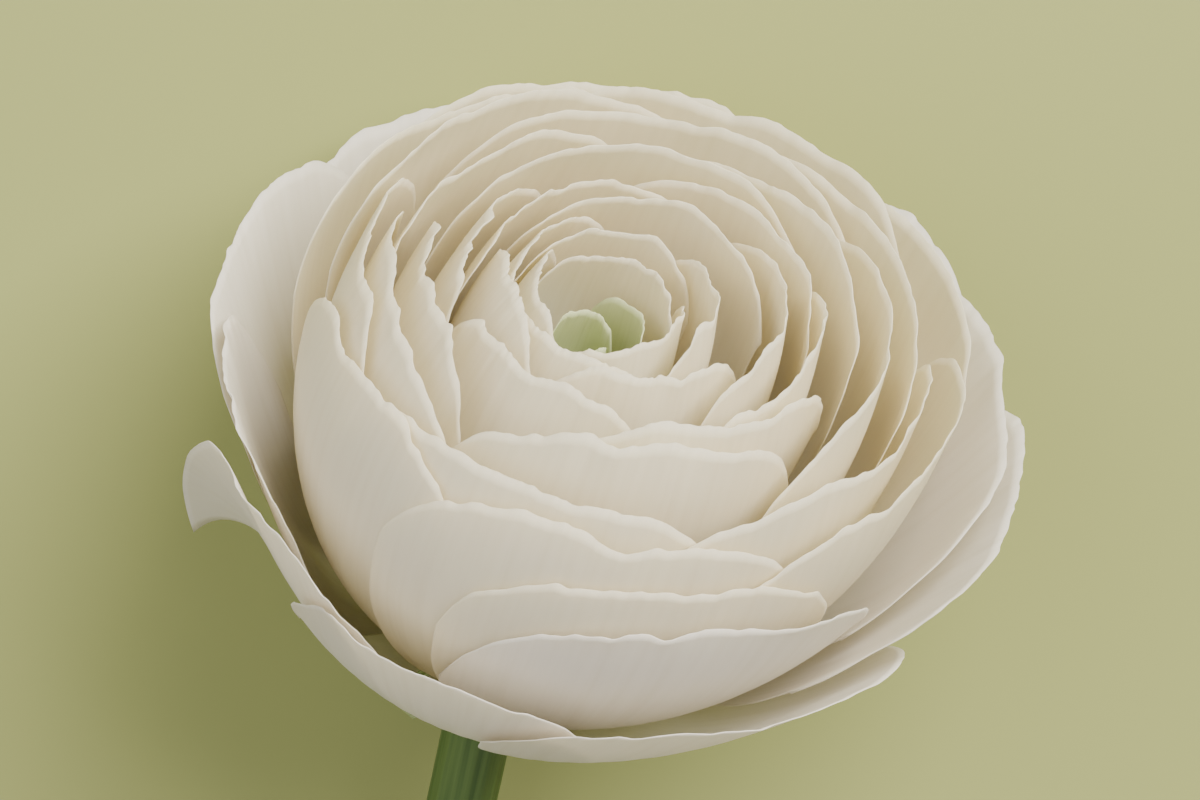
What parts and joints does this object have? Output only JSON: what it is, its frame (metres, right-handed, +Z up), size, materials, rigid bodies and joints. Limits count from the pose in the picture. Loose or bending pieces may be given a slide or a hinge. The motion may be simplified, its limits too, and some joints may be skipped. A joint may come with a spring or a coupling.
{
  "type": "ranunculus flower",
  "caption": "Cut white ranunculus bloom lying on its side: many thin nested petals round a green heart, on a short bent green stem.",
  "frame": {"origin": "centre of the bounding box's base, on the surface the flower lies on", "axes": "+Z up, +Y from the cut end of the stem toward the bloom, +X to the bloom's right seen from above"},
  "size_m": [0.078, 0.1512, 0.0629],
  "materials": {
    "stem": "smooth matt green stem",
    "sepal": "thin matt green leaf",
    "petal_heart": "soft greenish white petal",
    "petal": "soft creamy white petal",
    "petal_guard": "soft white outer petal"
  },
  "bodies": {
    "root": {"stem": "stem", "sepal_1": "sepal", "sepal_2": "sepal", "sepal_3": "sepal", "sepal_4": "sepal", "sepal_5": "sepal", "petal_heart_a": "petal_heart", "petal_heart_b": "petal_heart", "petal_heart_c": "petal_heart", "petal_heart_d": "petal_heart", "petal_heart_e": "petal_heart", "petal_inner_a": "petal", "petal_inner_b": "petal", "petal_inner_c": "petal", "petal_inner_d": "petal", "petal_inner_e": "petal", "petal_inner_f": "petal", "petal_inner_g": "petal", "petal_inner_h": "petal", "petal_ring_a": "petal", "petal_ring_b": "petal", "petal_ring_c": "petal", "petal_ring_d": "petal", "petal_front_a": "petal", "petal_ring_e": "petal", "petal_left_a": "petal", "petal_right_a": "petal", "petal_back_a": "petal", "petal_front_b": "petal", "petal_left_b": "petal", "petal_right_b": "petal", "petal_front_c": "petal", "petal_left_c": "petal", "petal_left_d": "petal", "petal_right_c": "petal", "petal_back_b": "petal", "petal_left_e": "petal", "petal_right_d": "petal", "petal_front_d": "petal", "petal_back_c": "petal", "petal_right_e": "petal", "petal_left_f": "petal", "petal_back_d": "petal", "petal_front_e": "petal", "petal_right_f": "petal", "petal_back_e": "petal", "petal_front_f": "petal", "petal_back_f": "petal", "petal_back_g": "petal", "petal_guard_a": "petal_guard", "petal_guard_b": "petal_guard", "petal_guard_c": "petal_guard", "petal_guard_d": "petal_guard", "petal_guard_e": "petal_guard", "petal_guard_f": "petal_guard", "petal_guard_g": "petal_guard", "petal_guard_h": "petal_guard", "petal_guard_i": "petal_guard", "petal_guard_j": "petal_guard"}
  },
  "joints": []
}
